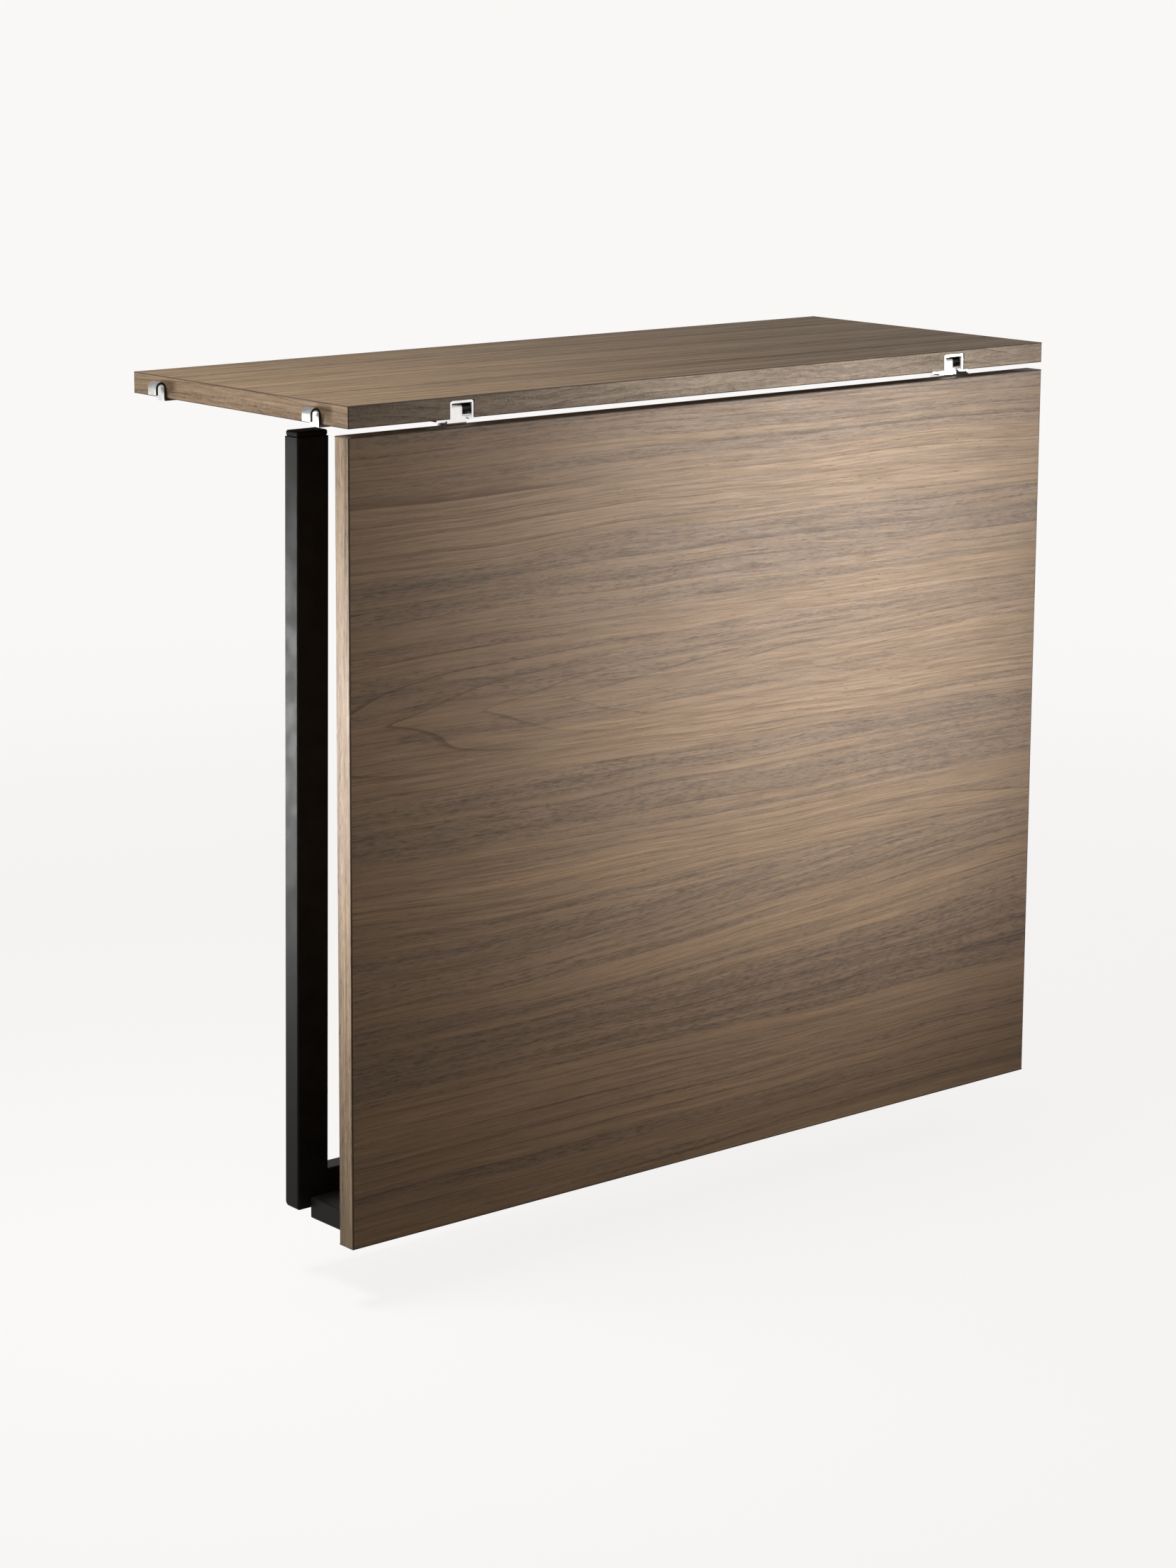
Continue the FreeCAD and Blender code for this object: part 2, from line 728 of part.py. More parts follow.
def shelf_nodes(screw):
    inner = half_width - S["band_thickness"]
    front_hook = front_y + S["front_hook_middle"]
    rear_hook = -S["rear_hook_middle"]
    hook_heads = shelf_under - S["hook_sheet"]
    bracket_heads = shelf_under - S["leaf_hinge_sheet"]
    hook_spots = [(*spot, hook_heads) for spot in hook_screw_places()]
    bracket_spots = [(*spot, bracket_heads) for spot in leaf_bracket_screw_places()]
    return [
        shelf_panel(),
        shelf_front_band(),
        shelf_back_band(),
        shelf_end_band("shelf_left_band", -half_width, -inner),
        shelf_end_band("shelf_right_band", half_width, inner),
        rung_hook("left_front_hook", -1, front_hook),
        rung_hook("left_rear_hook", -1, rear_hook),
        rung_hook("right_front_hook", 1, front_hook),
        rung_hook("right_rear_hook", 1, rear_hook),
        screw_group("hook_screws", screw, hook_spots, 180),
        leaf_hinge_bracket("left_leaf_hinge_bracket", -leaf_hinge_x),
        leaf_hinge_bracket("right_leaf_hinge_bracket", leaf_hinge_x),
        leaf_hinge_pin("left_leaf_hinge_pin", -leaf_hinge_x),
        leaf_hinge_pin("right_leaf_hinge_pin", leaf_hinge_x),
        screw_group("leaf_bracket_screws", screw, bracket_spots, 180),
    ]


# ---------------------------------------------------------------- leaf


def leaf_strap_screw_places():
    drops = (S["leaf_screw_first"], S["leaf_screw_second"])
    middles = (-leaf_hinge_x, leaf_hinge_x)
    return [(middle, leaf_top - drop) for middle in middles for drop in drops]


def beam_screw_columns():
    return (
        -S["beam_screw_outer"], -S["beam_screw_inner"],
        S["beam_screw_inner"], S["beam_screw_outer"],
    )


def beam_screw_places():
    level = leaf_bottom + S["beam_height"] / 2
    return [(column, level) for column in beam_screw_columns()]


def leaf_panel():
    band = S["band_thickness"]
    body = board(
        "leaf_panel",
        band - half_width, half_width - band,
        front_y, leaf_back,
        leaf_bottom + band, leaf_top - band,
    )
    depth = S["screw_length"] - S["leaf_hinge_sheet"] + S["fit_gap"]
    spots = leaf_strap_screw_places()
    drill(body, "strap_pilots", "XZ_Plane", leaf_back, spots, pilot, depth, True)
    thread = S["beam_screw_diameter"] + 2 * S["running_gap"]
    bite = S["beam_screw_bite"] + S["fit_gap"]
    spots = beam_screw_places()
    drill(body, "beam_pilots", "XZ_Plane", leaf_back, spots, thread, bite, True)
    return body


def leaf_long_band(name, outer, inner):
    """The band along the leaf's top or bottom edge, as wide as the leaf."""
    low, high = (outer, inner) if outer.value < inner.value else (inner, outer)
    body = board(name, -half_width, half_width, front_y, leaf_back, low, high)
    round_face(body, 2, outer, S["band_round"])
    return body


def leaf_side_band(name, outer, inner):
    band = S["band_thickness"]
    left, right = (outer, inner) if outer.value < inner.value else (inner, outer)
    body = board(
        name, left, right, front_y, leaf_back, leaf_bottom + band, leaf_top - band
    )
    round_face(body, 0, outer, S["band_round"], left_out=1)
    return body


def leaf_hinge_strap(name, middle):
    """The moving half of a leaf hinge: plate on the leaf's back, over its top edge, up in
    front of the pin as a narrower tongue, and rolled three quarters round the pin."""
    body = new_body(name)
    sheet = S["leaf_hinge_sheet"]
    inner = eye_inner
    outer = inner + sheet
    bend = S["strap_bend"]
    wide_bend = bend + sheet
    wood = leaf_back - leaf_pin_y
    edge = leaf_top - leaf_pin_z
    plate_end = edge - S["leaf_plate_length"]
    corners = [
        (wood, plate_end),
        (wood + sheet, plate_end),
        (wood + sheet, edge + sheet - wide_bend),
        (wood + sheet - wide_bend, edge + sheet, wide_bend, "left"),
        (bend - inner, edge + sheet),
        (-inner, edge + sheet + bend, bend, "right"),
        (-inner, 0),
        (0, inner, inner, "right"),
        (inner, 0, inner, "right"),
        (0, -inner, inner, "right"),
        (0, -outer),
        (outer, 0, outer, "left"),
        (0, outer, outer, "left"),
        (-outer, 0, outer, "left"),
        (-outer, edge + wide_bend),
        (wide_bend - outer, edge, wide_bend, "left"),
        (wood - bend, edge),
        (wood, edge - bend, bend, "right"),
    ]
    sketch = new_sketch(body, name + "_outline", "YZ_Plane")
    draw_outline(sketch, corners)
    width = S["leaf_strap_width"]
    pad(body, sketch, width, symmetric=True)
    shoulders = new_sketch(body, name + "_shoulders", "XZ_Plane")
    tongue = S["leaf_tongue_width"] / 2
    draw_rectangle(shoulders, tongue, width, -S["leaf_shoulder_drop"], 2 * outer)
    draw_rectangle(shoulders, -width, -tongue, -S["leaf_shoulder_drop"], 2 * outer)
    pocket(body, shoulders, THROUGH, symmetric=True)
    drops = (S["leaf_screw_first"], S["leaf_screw_second"])
    holes = [(0, edge - drop) for drop in drops]
    countersink(body, holes, "XZ_Plane", 1, wood + sheet, sheet)
    return place(body, middle, leaf_pin_y, leaf_pin_z)


def leg_plate_screw_places():
    level = leg_pin_z - leg_plate_screw_drop()
    spread = S["leg_screw_spread"]
    middles = (-leg_hinge_x, leg_hinge_x)
    return [(middle + side * spread, level) for middle in middles for side in (-1, 1)]


def leg_plate_screw_drop():
    """From the pin down to the plate's screws, in the middle of the plate's flat."""
    return (eye_inner + S["leg_plate_drop"]) / 2


def leg_beam():
    """The beam across the leaf's back that carries the leg hinges."""
    body = board(
        "leg_beam", -beam_half, beam_half, leaf_back, beam_back, leaf_bottom, beam_top
    )
    back = beam_back.value
    ends = (-beam_half.value, beam_half.value)

    def exposed(edge):
        at_end = any(lies_at(edge, 0, end) for end in ends)
        at_leaf = lies_at(edge, 1, leaf_back.value)
        return is_straight(edge) and not at_leaf and (at_end or lies_at(edge, 1, back))

    fillet(body, S["beam_round"], exposed)
    recess = new_sketch(body, "leg_beam_recesses", "XZ_Plane", beam_back)
    half = S["leg_plate_width"] / 2 + S["fit_gap"]
    low = leg_pin_z - S["leg_plate_drop"] - S["fit_gap"]
    high = leg_pin_z - eye_inner + S["fit_gap"]
    for middle in (-leg_hinge_x, leg_hinge_x):
        draw_rectangle(recess, middle - half, middle + half, low, high)
    pocket(body, recess, S["leg_hinge_sheet"], True)
    floor = beam_back - S["leg_hinge_sheet"]
    depth = S["screw_length"] - S["leg_hinge_sheet"] + S["fit_gap"]
    spots = leg_plate_screw_places()
    drill(body, "plate_pilots", "XZ_Plane", floor, spots, pilot, depth, True)
    spots = beam_screw_places()
    clear = S["beam_screw_diameter"] + 2 * S["screw_gap"]
    drill(body, "through", "XZ_Plane", beam_back, spots, clear, THROUGH, True)
    bore = S["beam_screw_bore"]
    depth = beam_back - beam_screw_seat()
    drill(body, "counterbores", "XZ_Plane", beam_back, spots, bore, depth, True)
    return body


def beam_screw_seat():
    return leaf_back - S["beam_screw_bite"] + S["beam_screw_length"]


def leg_hinge_strap(name, middle):
    """The fixed half of a leg hinge: a wide plate let into the beam's back, bent out as a
    narrower tongue below the pin and rolled three quarters round it."""
    body = new_body(name)
    sheet = S["leg_hinge_sheet"]
    inner = eye_inner
    outer = inner + sheet
    bend = S["strap_bend"]
    wide_bend = bend + sheet
    face = beam_back - leg_pin_y
    low = -S["leg_plate_drop"]
    corners = [
        (face - sheet, low),
        (face, low),
        (face, -outer - bend),
        (face + bend, -outer, bend, "right"),
        (0, -outer),
        (outer, 0, outer, "left"),
        (0, outer, outer, "left"),
        (-outer, 0, outer, "left"),
        (-inner, 0),
        (0, inner, inner, "right"),
        (inner, 0, inner, "right"),
        (0, -inner, inner, "right"),
        (face - sheet + wide_bend, -inner),
        (face - sheet, -inner - wide_bend, wide_bend, "left"),
    ]
    sketch = new_sketch(body, name + "_outline", "YZ_Plane")
    draw_outline(sketch, corners)
    width = S["leg_plate_width"]
    pad(body, sketch, width, symmetric=True)
    sides = new_sketch(body, name + "_sides", "XY_Plane")
    tongue = S["leg_tongue_width"] / 2
    draw_rectangle(sides, tongue, width, face, 2 * outer)
    draw_rectangle(sides, -width, -tongue, face, 2 * outer)
    pocket(body, sides, THROUGH, symmetric=True)
    spread = S["leg_screw_spread"]
    level = -leg_plate_screw_drop()
    countersink(body, [(-spread, level), (spread, level)], "XZ_Plane", 1, face, sheet)
    return place(body, middle, leg_pin_y, leg_pin_z)


def leaf_nodes(screw, long_screw):
    band = S["band_thickness"]
    inner = half_width - band
    strap_heads = leaf_back + S["leaf_hinge_sheet"]
    strap_spots = [(x, strap_heads, z) for x, z in leaf_strap_screw_places()]
    plate_spots = [(x, beam_back, z) for x, z in leg_plate_screw_places()]
    beam_spots = [(x, beam_screw_seat(), z) for x, z in beam_screw_places()]
    return [
        leaf_panel(),
        leaf_long_band("leaf_top_band", leaf_top, leaf_top - band),
        leaf_long_band("leaf_bottom_band", leaf_bottom, leaf_bottom + band),
        leaf_side_band("leaf_left_band", -half_width, -inner),
        leaf_side_band("leaf_right_band", half_width, inner),
        leaf_hinge_strap("left_leaf_hinge_strap", -leaf_hinge_x),
        leaf_hinge_strap("right_leaf_hinge_strap", leaf_hinge_x),
        screw_group("leaf_strap_screws", screw, strap_spots, -90),
        leg_beam(),
        screw_group("beam_screws", long_screw, beam_spots, -90),
        leg_hinge_strap("left_leg_hinge_strap", -leg_hinge_x),
        leg_hinge_strap("right_leg_hinge_strap", leg_hinge_x),
        screw_group("leg_plate_screws", screw, plate_spots, -90),
    ]


# ---------------------------------------------------------------- leg frame


def dowel_levels():
    middle = leg_end + S["rail_height"] / 2
    return (middle - S["dowel_pitch"] / 2, middle + S["dowel_pitch"] / 2)


def dowel_bore(body, face, reverse):
    spots = [(leg_middle, level) for level in dowel_levels()]
    bore = S["dowel_diameter"] + 2 * S["running_gap"]
    depth = S["dowel_reach"] + S["dowel_relief"]
    end = "right" if face.value > 0 else "left"
    drill(body, end + "_dowel_bores", "YZ_Plane", face, spots, bore, depth, reverse)


def leg(name, side):
    outer = side * leg_outer_x
    inner = side * rail_half
    left, right = (outer, inner) if side < 0 else (inner, outer)
    body = board(name, left, right, leg_front, leg_back, leg_end, leg_top)

    def upright(edge):
        return runs_along(edge, 2)

    def heel(edge):
        at_end = lies_at(edge, 2, leg_end.value)
        return is_straight(edge) and at_end and lies_at(edge, 1, leg_back.value)

    fillet(body, S["heel_round"], heel)
    fillet(body, S["leg_round"], upright)
    dowel_bore(body, inner, side > 0)
    middle = (left + right) / 2
    stem = S["foot_stem_diameter"] + 2 * S["running_gap"]
    depth = S["foot_stem_length"] + S["dowel_relief"]
    drill(body, "stem_bore", "XY_Plane", leg_top, [(middle, leg_middle)], stem, depth)
    return place_in_leg_frame(body)


def cross_rail():
    top = leg_end + S["rail_height"]
    body = board("cross_rail", -rail_half, rail_half, leg_front, leg_back, leg_end, top)
    fillet(body, S["leg_round"], lambda edge: runs_along(edge, 0))
    notch = new_sketch(body, "cross_rail_notches", "XY_Plane", leg_end)
    half = S["leg_hinge_inner"] / 2 + S["leg_hinge_sheet"] + S["fit_gap"]
    back = leg_front + S["leg_bracket_front"] + S["leg_bracket_depth"] + S["fit_gap"]
    for middle in (-leg_hinge_x, leg_hinge_x):
        draw_rectangle(notch, middle - half, middle + half, leg_front - 1, back)
    pocket(body, notch, S["leg_pin_rise"] + S["leg_bracket_rise"] + S["fit_gap"], True)
    depth = S["screw_length"] - S["leg_hinge_sheet"] + S["fit_gap"]
    spots = leg_bracket_screw_places()
    drill(body, "pilots", "XY_Plane", leg_end, spots, pilot, depth, True)
    dowel_bore(body, -rail_half, True)
    dowel_bore(body, rail_half, False)
    return place_in_leg_frame(body)


def leg_bracket_screw_places():
    reach = S["leg_hinge_inner"] / 2 + S["leg_hinge_sheet"] + S["leg_foot_reach"] / 2
    foot_back = S["leg_bracket_front"] + S["leg_bracket_depth"]
    screw_y = leg_front + (S["leg_foot_front"] + foot_back) / 2
    middles = (-leg_hinge_x, leg_hinge_x)
    return [(middle + side * reach, screw_y) for middle in middles for side in (-1, 1)]


def leg_hinge_bracket(name, middle):
    body = hinge_bracket(
        name,
        base=leg_end,
        height=S["leg_pin_rise"] + S["leg_bracket_rise"],
        inner=S["leg_hinge_inner"],
        sheet=S["leg_hinge_sheet"],
        reach=S["leg_foot_reach"],
        front=leg_front + S["leg_bracket_front"],
        depth=S["leg_bracket_depth"],
        foot_front=leg_front + S["leg_foot_front"],
    )
    return place_in_leg_frame(body, middle)


def leg_hinge_pin(name, middle):
    body = hinge_pin(name, S["leg_hinge_inner"] + 2 * S["leg_hinge_sheet"])
    return place_in_leg_frame(body, middle)


def rail_dowels():
    """The four dowels of the rail's two joints, as separate solids."""
    body = new_body("rail_dowels")
    length = 2 * S["dowel_reach"]
    for end, joint in (("left", -rail_half), ("right", rail_half)):
        name = f"rail_dowels_{end}"
        sketch = new_sketch(body, name, "YZ_Plane", joint - S["dowel_reach"])
        for level in dowel_levels():
            draw_circle(sketch, leg_middle, level, S["dowel_diameter"])
        pad(body, sketch, length)
        doc.recompute()
    return place_in_leg_frame(body)


def leg_foot(name, side):
    """A moulded foot: a stem in the leg, a set-back neck and a cap with a rounded rim."""
    body = new_body(name)
    middle = side * (leg_outer_x - S["leg_width"] / 2)
    stem = new_sketch(body, name + "_stem", "XY_Plane", leg_top - S["foot_stem_length"])
    draw_circle(stem, middle, leg_middle, S["foot_stem_diameter"])
    pad(body, stem, S["foot_stem_length"])
    layers = (
        ("neck", leg_top, S["foot_neck_inset"], S["foot_neck_height"]),
        ("cap", leg_top + S["foot_neck_height"], S["foot_cap_inset"], S["foot_cap_height"]),
    )
    for layer, level, inset, height in layers:
        sketch = new_sketch(body, f"{name}_{layer}", "XY_Plane", level)
        across = S["leg_width"] / 2 - inset
        draw_rectangle(
            sketch, middle - across, middle + across, leg_front + inset, leg_back - inset
        )
        pad(body, sketch, height)
    rim = (leg_top + S["foot_neck_height"] + S["foot_cap_height"]).value
    shoulder = (leg_top + S["foot_neck_height"]).value

    def cap_corner(edge):
        heights = [vertex.Point.z for vertex in edge.Vertexes]
        return runs_along(edge, 2) and min(heights) > shoulder - 1e-4

    fillet(body, S["foot_cap_round"], cap_corner)
    fillet(body, S["foot_cap_round"] * RIM_SHARE, lambda edge: lies_at(edge, 2, rim))
    return place_in_leg_frame(body)


def leg_frame_nodes(screw):
    heads = leg_end - S["leg_hinge_sheet"]
    spots = [(x, y, heads) for x, y in leg_bracket_screw_places()]
    return [
        leg("left_leg", -1),
        leg("right_leg", 1),
        cross_rail(),
        rail_dowels(),
        leg_foot("left_foot", -1),
        leg_foot("right_foot", 1),
        leg_hinge_bracket("left_leg_hinge_bracket", -leg_hinge_x),
        leg_hinge_bracket("right_leg_hinge_bracket", leg_hinge_x),
        leg_hinge_pin("left_leg_hinge_pin", -leg_hinge_x),
        leg_hinge_pin("right_leg_hinge_pin", leg_hinge_x),
        place_in_leg_frame(screw_group("leg_bracket_screws", screw, spots, 180)),
    ]


# ---------------------------------------------------------------- build, check and export


def check_document(nodes):
    for thing in doc.Objects:
        if "Invalid" in thing.State or "Error" in thing.State:
            raise ValueError(f"{thing.Name} is {thing.State}")
    for node in nodes:
        if node.Shape.isNull() or not node.Shape.isValid() or not node.Shape.Solids:
            raise ValueError(f"{node.Label} has no valid solid")


def export(nodes):
    os.makedirs("parts", exist_ok=True)
    for node in nodes:
        node.Shape.exportStep(os.path.join("parts", node.Label + ".step"))
        print(f"{node.Label}: {len(node.Shape.Solids)} solids, {node.Shape.Volume:.0f} mm3")


short_screw = fitting_screw()
long_screw = beam_screw()
all_nodes = shelf_nodes(short_screw)
all_nodes += leaf_nodes(short_screw, long_screw)
all_nodes += leg_frame_nodes(short_screw)
doc.recompute()
check_document(all_nodes)
export(all_nodes)
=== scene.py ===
"""Looks of the wall mounted drop leaf table, in metres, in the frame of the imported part."""

import math

import bpy
from mathutils import Matrix, Vector

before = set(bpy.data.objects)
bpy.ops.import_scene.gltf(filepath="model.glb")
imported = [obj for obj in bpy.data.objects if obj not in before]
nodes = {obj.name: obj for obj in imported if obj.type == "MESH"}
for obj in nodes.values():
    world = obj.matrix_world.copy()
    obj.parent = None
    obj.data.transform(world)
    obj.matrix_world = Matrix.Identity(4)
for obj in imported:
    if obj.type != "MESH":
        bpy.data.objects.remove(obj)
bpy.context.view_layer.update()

LEAF_TOP_Z = -0.0156  # upper edge of the hanging leaf
LEAF_MIDDLE_Y = -0.291  # middle of the hanging leaf's thickness
CORE_HALF = 0.0082  # half of a board's thickness, without its veneers


# ---------------------------------------------------------------- node helpers


class Nodes:
    """A node tree, with short calls for the nodes used here. An input is a constant or
    another node's output."""

    def __init__(self, tree):
        self.tree = tree

    def join(self, output, socket):
        self.tree.links.new(output, socket)

    def add(self, kind, inputs=None, **settings):
        node = self.tree.nodes.new(kind)
        for name, value in settings.items():
            setattr(node, name, value)
        for name, value in (inputs or {}).items():
            if isinstance(value, bpy.types.NodeSocket):
                self.join(value, node.inputs[name])
            else:
                node.inputs[name].default_value = value
        return node

    def maths(self, operation, a, b=0.0, clamp=False):
        node = self.add("ShaderNodeMath", {0: a, 1: b}, operation=operation, use_clamp=clamp)
        return node.outputs[0]

    def plus(self, a, b):
        return self.maths("ADD", a, b)

    def minus(self, a, b):
        return self.maths("SUBTRACT", a, b)

    def times(self, a, b):
        return self.maths("MULTIPLY", a, b)

    def larger(self, a, b):
        return self.maths("MAXIMUM", a, b)

    def unsigned(self, a):
        return self.maths("ABSOLUTE", a)

    def between(self, value, low, high, start=0.0, end=1.0):
        """Maps low..high of a value smoothly to start..end."""
        inputs = {"Value": value, "From Min": low, "From Max": high, "To Min": start, "To Max": end}
        node = self.add("ShaderNodeMapRange", inputs, interpolation_type="SMOOTHSTEP")
        return node.outputs["Result"]

    def spread(self, value, start=0.0, end=1.0):
        """Maps the range that most of a noise lies in smoothly to start..end."""
        return self.between(value, 0.3, 0.7, start, end)

    def mix(self, factor, a, b, blend="MIX"):
        inputs = {0: factor, 6: a, 7: b}
        return self.add("ShaderNodeMix", inputs, data_type="RGBA", blend_type=blend).outputs[2]

    def tinted(self, colour, factor, tint):
        return self.mix(factor, colour, tint, "MULTIPLY")

    def vector(self, x, y, z):
        return self.add("ShaderNodeCombineXYZ", {0: x, 1: y, 2: z}).outputs[0]

    def noise(self, where, detail=2.0, roughness=0.5, distortion=0.0):
        inputs = {
            "Vector": where,
            "Scale": 1.0,
            "Detail": detail,
            "Roughness": roughness,
            "Distortion": distortion,
        }
        return self.add("ShaderNodeTexNoise", inputs).outputs["Fac"]

    def ramp(self, factor, stops):
        """A grey ramp through (position, level) stops."""
        node = self.add("ShaderNodeValToRGB", {"Fac": factor})
        node.color_ramp.interpolation = "EASE"
        elements = node.color_ramp.elements
        while len(elements) < len(stops):
            elements.new(1.0)
        for element, (position, level) in zip(elements, stops):
            element.position = position
            element.color = (level, level, level, 1.0)
        return node.outputs["Color"]

    def place(self):
        """The point in the part's frame, which moves with the piece."""
        return self.add("ShaderNodeTexCoord").outputs["Object"]

    def place_axes(self):
        return self.add("ShaderNodeSeparateXYZ", {0: self.place()}).outputs

    def normal_axes(self):
        normal = self.add("ShaderNodeTexCoord").outputs["Normal"]
        return self.add("ShaderNodeSeparateXYZ", {0: normal}).outputs

    def place_noise(self, cells, detail, roughness=0.5):
        """Noise with so many cells per metre along each of the part's axes."""
        inputs = {0: self.place(), 1: cells}
        scaled = self.add("ShaderNodeVectorMath", inputs, operation="MULTIPLY")
        return self.noise(scaled.outputs[0], detail, roughness)

    def seen(self):
        """1 for rays from the camera, a mirror or glass, 0 for light that falls on the object."""
        path = self.add("ShaderNodeLightPath").outputs
        first = self.larger(path["Is Camera Ray"], path["Is Glossy Ray"])
        return self.larger(first, path["Is Transmission Ray"])

    def either(self, factor, first, second):
        """The first shader at factor 0, the second at 1."""
        inputs = {0: factor, 1: first.outputs[0], 2: second.outputs[0]}
        return self.add("ShaderNodeMixShader", inputs)


class Surface(Nodes):
    """A new material with a Principled shader."""

    def __init__(self, name):
        self.material = bpy.data.materials.new(name)
        self.material.use_nodes = True
        super().__init__(self.material.node_tree)
        self.shader = self.tree.nodes["Principled BSDF"]

    def put(self, name, value):
        """Sets a constant on the shader's own socket."""
        self.shader.inputs[name].default_value = value

    def feed(self, name, output):
        """Joins another node's output to the shader's socket."""
        self.join(output, self.shader.inputs[name])

    def bump(self, height, distance):
        node = self.add("ShaderNodeBump", {"Height": height, "Distance": distance, "Strength": 1.0})
        self.feed("Normal", node.outputs[0])


# ---------------------------------------------------------------------- walnut

# Layers of noise: cells per metre along and across the grain, offset, noise settings.
SLOW_WAVE = (1.3, 3.0, 0.0, {"detail": 1.0})
QUICK_WAVE = (6.0, 26.0, 3.1, {"detail": 1.0})
NARROW_BANDS = (1.9, 90.0, 7.7, {"detail": 3.0})
TAPER = (1.3, 6.5, 11.3, {"detail": 0.0})
RING_SPACING = (0.4, 16.0, 13.9, {"detail": 1.0})
RING_FADE = (3.0, 22.0, 17.2, {"detail": 1.0})
FIBRE = (22.0, 640.0, 21.5, {"detail": 1.5, "roughness": 0.6})
STREAK = (2.6, 300.0, 24.4, {"detail": 3.0, "roughness": 0.6})
FLECK = (88.0, 690.0, 27.8, {"detail": 1.5, "roughness": 0.6, "distortion": 0.7})
COOL_CLOUD = (0.9, 9.0, 31.4, {"detail": 1.0})

# How the grain is bent, in metres across it.
SLOW_BEND = 0.032
QUICK_BEND = 0.008
RISE_SPAN = (-0.30, 0.32)  # along the grain, where the lower bands climb
RISE_HEIGHT = 0.030
RISE_BELOW = 0.02  # the climb is strongest this far below the lower tips
RISE_REACH = 0.11

# How the rings run. The swings are in rings, the tips in metres, the peaks and ends in
# shares of a ring.
TAPER_SWING = 7.0
SPACING_SWING = 5.0
TIP_ALONG = 0.2  # the tips lie this far to either side of the middle
TIP_ROUND = 0.0015  # rounds the points off
TIP_REACH = 0.075  # the tips open out over this distance across the grain
TIP_OPENING = 0.13  # metres across the grain for each metre along it
TIP_BLEND = 0.04  # half the zone in which the upper tips give way to the lower ones
LINE_PEAK, LINE_END = 0.03, 0.13
SHADE_PEAK, SHADE_END = 0.05, 0.6
FADE_RANGE = (0.36, 0.64, 0.3, 1.0)  # noise from and to, strength of a ring from and to

# How strong each layer is.
FIGURE_SPAN = 0.7  # metres across the grain that a figure's stops stand for
NARROW_SWING = 1.5
SHADE_OPENS = 0.3  # pores are more open in a ring's shade
OPEN_PORED = (0.75, 0.1)  # tones with no open pores and with all of them
RIPPLE_SWING = 2.1
RIPPLE_LEAST = 0.2
PORE_START, PORE_FULL = 0.64, 0.70
PORE_WIDENS = 0.08
COOL_RANGE = (0.35, 0.65, 0.0, 0.35)  # noise from and to, tint from and to
SHADE_STRENGTH = 0.5
PORE_STRENGTH = 0.6
FIBRE_SHADES = (0.84, 1.14)
STREAK_SHADES = (0.82, 1.16)
FIBRE_ROUGHNESS = (0.48, 0.42)
PORE_ROUGHNESS = 0.06
FIBRE_HEIGHT = 0.35
GRAIN_DEPTH = 0.00005

# The thin dark line along both edges of a band.
ARRIS_DEPTH = (0.0078, 0.0086)  # distances from the band's middle over which it starts
ARRIS_STRENGTH = 0.75
FLAT, ROUNDED = 0.99, 0.93  # largest part of the normal on a flat face and on an arris

COOLER = (0.86, 0.82, 0.80, 1.0)
RING_SHADE = (0.72, 0.69, 0.68, 1.0)
RING_LINE = (0.60, 0.54, 0.49, 1.0)
PORE = (0.56, 0.51, 0.48, 1.0)
# near black: painted shade on a panel's cut faces, and the dark line along a band's edges
NEAR_BLACK = (0.030, 0.022, 0.016, 1.0)


def eased(wood):
    """1 on a rounded arris, whose normal points along none of the part's axes, else 0."""
    x, y, z = (wood.unsigned(axis) for axis in wood.normal_axes())
    return wood.between(wood.larger(x, wood.larger(y, z)), FLAT, ROUNDED)


def tipped_rings(wood, x, t, flow, rings, tips):
    """Mirrors the rings about the two heights in tips, where they close in points. Gives
    the bent grain, the distance from the nearer height, and what opens the points."""
    upper, lower = tips
    middle = (upper + lower) / 2
    rise = wood.between(x, *RISE_SPAN, 0.0, RISE_HEIGHT)
    window = wood.between(wood.unsigned(wood.minus(t, lower + RISE_BELOW)), RISE_REACH, 0.0)
    flow = wood.plus(flow, wood.times(rise, window))
    fold = wood.minus(wood.unsigned(wood.minus(flow, middle)), (lower - upper) / 2)
    fold = wood.maths("SQRT", wood.plus(wood.times(fold, fold), TIP_ROUND**2))
    side = wood.between(flow, middle - TIP_BLEND, middle + TIP_BLEND, -1.0, 1.0)
    opening = wood.between(fold, TIP_REACH, 0.0, 0.0, TIP_OPENING * rings)
    from_tip = wood.minus(x, wood.times(side, TIP_ALONG))
    return flow, fold, wood.times(from_tip, wood.times(opening, side))


